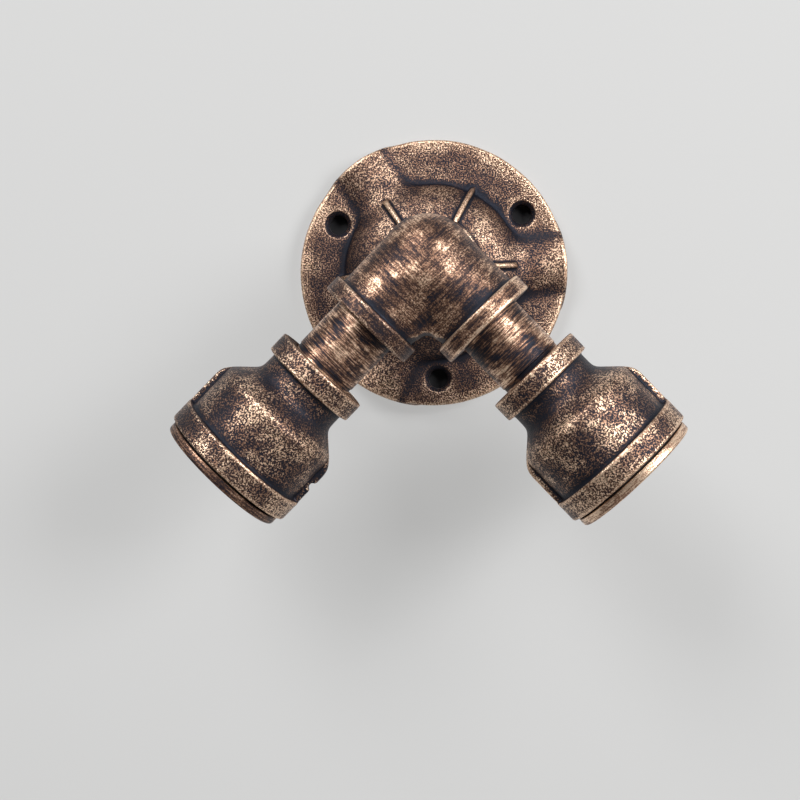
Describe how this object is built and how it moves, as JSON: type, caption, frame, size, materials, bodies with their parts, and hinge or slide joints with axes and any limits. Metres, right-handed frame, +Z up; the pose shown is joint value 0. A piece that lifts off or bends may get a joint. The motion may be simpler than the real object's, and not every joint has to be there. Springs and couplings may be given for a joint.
{
  "type": "wall lamp",
  "caption": "Pipe-fitting wall lamp: a round wall flange carries a three-way elbow with two sloping arms, each ending in a bell reducer that holds a screw lamp holder facing down and out.",
  "frame": {"origin": "centre of the three screw holes on the flange's back face, which lies on the wall", "axes": "+Z up the wall, +Y into the wall, so the lamp stands out along -Y; +X to the right as seen from the room"},
  "size_m": [0.1564, 0.0782, 0.1244],
  "materials": {
    "cast_bronze": "sand cast, dark bronze paint with copper rubbed on the high places",
    "pipe_bronze": "steel pipe, dark bronze paint scratched round to copper",
    "ring_bronze": "turned steel ring, dark bronze paint with copper edges",
    "porcelain": "white glazed porcelain",
    "brass": "plain brass",
    "zinc_steel": "zinc plated",
    "black_plastic": "matt black",
    "block_plastic": "natural nylon",
    "glass_sleeve": "braided glass-fibre sleeve",
    "live_insulation": "brown silicone",
    "neutral_insulation": "blue silicone"
  },
  "bodies": {
    "wall_plate": {"wall_flange": "cast_bronze", "rear_nipple": "pipe_bronze", "rear_bush": "black_plastic", "lead_sleeve": "glass_sleeve", "rear_live_leads": "live_insulation", "rear_neutral_leads": "neutral_insulation", "terminal_block": "block_plastic", "terminal_barrels": "brass", "terminal_clamp_screws": "zinc_steel", "terminal_block_screw": "zinc_steel", "earth_screw": "zinc_steel", "earth_washer": "brass"},
    "lamp": {"elbow": "cast_bronze", "left_arm_nipple": "pipe_bronze", "right_arm_nipple": "pipe_bronze", "left_reducer": "cast_bronze", "right_reducer": "cast_bronze", "left_porcelain": "porcelain", "right_porcelain": "porcelain", "left_screw_shell": "brass", "right_screw_shell": "brass", "left_shell_strap": "brass", "right_shell_strap": "brass", "left_centre_strap": "brass", "right_centre_strap": "brass", "left_strap_screws": "zinc_steel", "right_strap_screws": "zinc_steel", "left_live_lead": "live_insulation", "right_live_lead": "live_insulation", "left_neutral_lead": "neutral_insulation", "right_neutral_lead": "neutral_insulation"},
    "left_washer": {"left_ring_washer": "black_plastic"},
    "left_ring": {"left_end_ring": "ring_bronze"},
    "right_washer": {"right_ring_washer": "black_plastic"},
    "right_ring": {"right_end_ring": "ring_bronze"},
    "left_contact": {"left_centre_tongue": "brass"},
    "right_contact": {"right_centre_tongue": "brass"}
  },
  "joints": [
    {"name": "elbow_swivel", "type": "hinge", "parent": "wall_plate", "child": "lamp", "pos_m": [0, -0.0554, 0], "axis": [0, 1, 0], "range_deg": [-90, 90]},
    {"name": "left_ring_travel", "type": "slide", "parent": "lamp", "child": "left_washer", "axis": [-0.6947, 0, -0.7193], "range_m": [0, 0.00601]},
    {"name": "left_ring_turn", "type": "hinge", "parent": "left_washer", "child": "left_ring", "pos_m": [-0.06113, -0.0554, -0.0633], "axis": [-0.6947, 0, -0.7193], "range_deg": [0, 1440]},
    {"name": "right_ring_travel", "type": "slide", "parent": "lamp", "child": "right_washer", "axis": [0.6947, 0, -0.7193], "range_m": [0, 0.00601]},
    {"name": "right_ring_turn", "type": "hinge", "parent": "right_washer", "child": "right_ring", "pos_m": [0.06113, -0.0554, -0.0633], "axis": [0.6947, 0, -0.7193], "range_deg": [0, 1440]},
    {"name": "left_contact_press", "type": "hinge", "parent": "lamp", "child": "left_contact", "pos_m": [-0.05166, -0.0554, -0.04242], "axis": [0, -1, 0], "range_deg": [0, 8], "stiffness_Nm_per_rad": 0.2},
    {"name": "right_contact_press", "type": "hinge", "parent": "lamp", "child": "right_contact", "pos_m": [0.05166, -0.0554, -0.04242], "axis": [0, 1, 0], "range_deg": [0, 8], "stiffness_Nm_per_rad": 0.2}
  ],
  "couplings": [
    {"joint": "left_ring_travel", "follows": "left_ring_turn", "m_per_rad": 0.00023873},
    {"joint": "right_ring_travel", "follows": "right_ring_turn", "m_per_rad": 0.00023873}
  ]
}
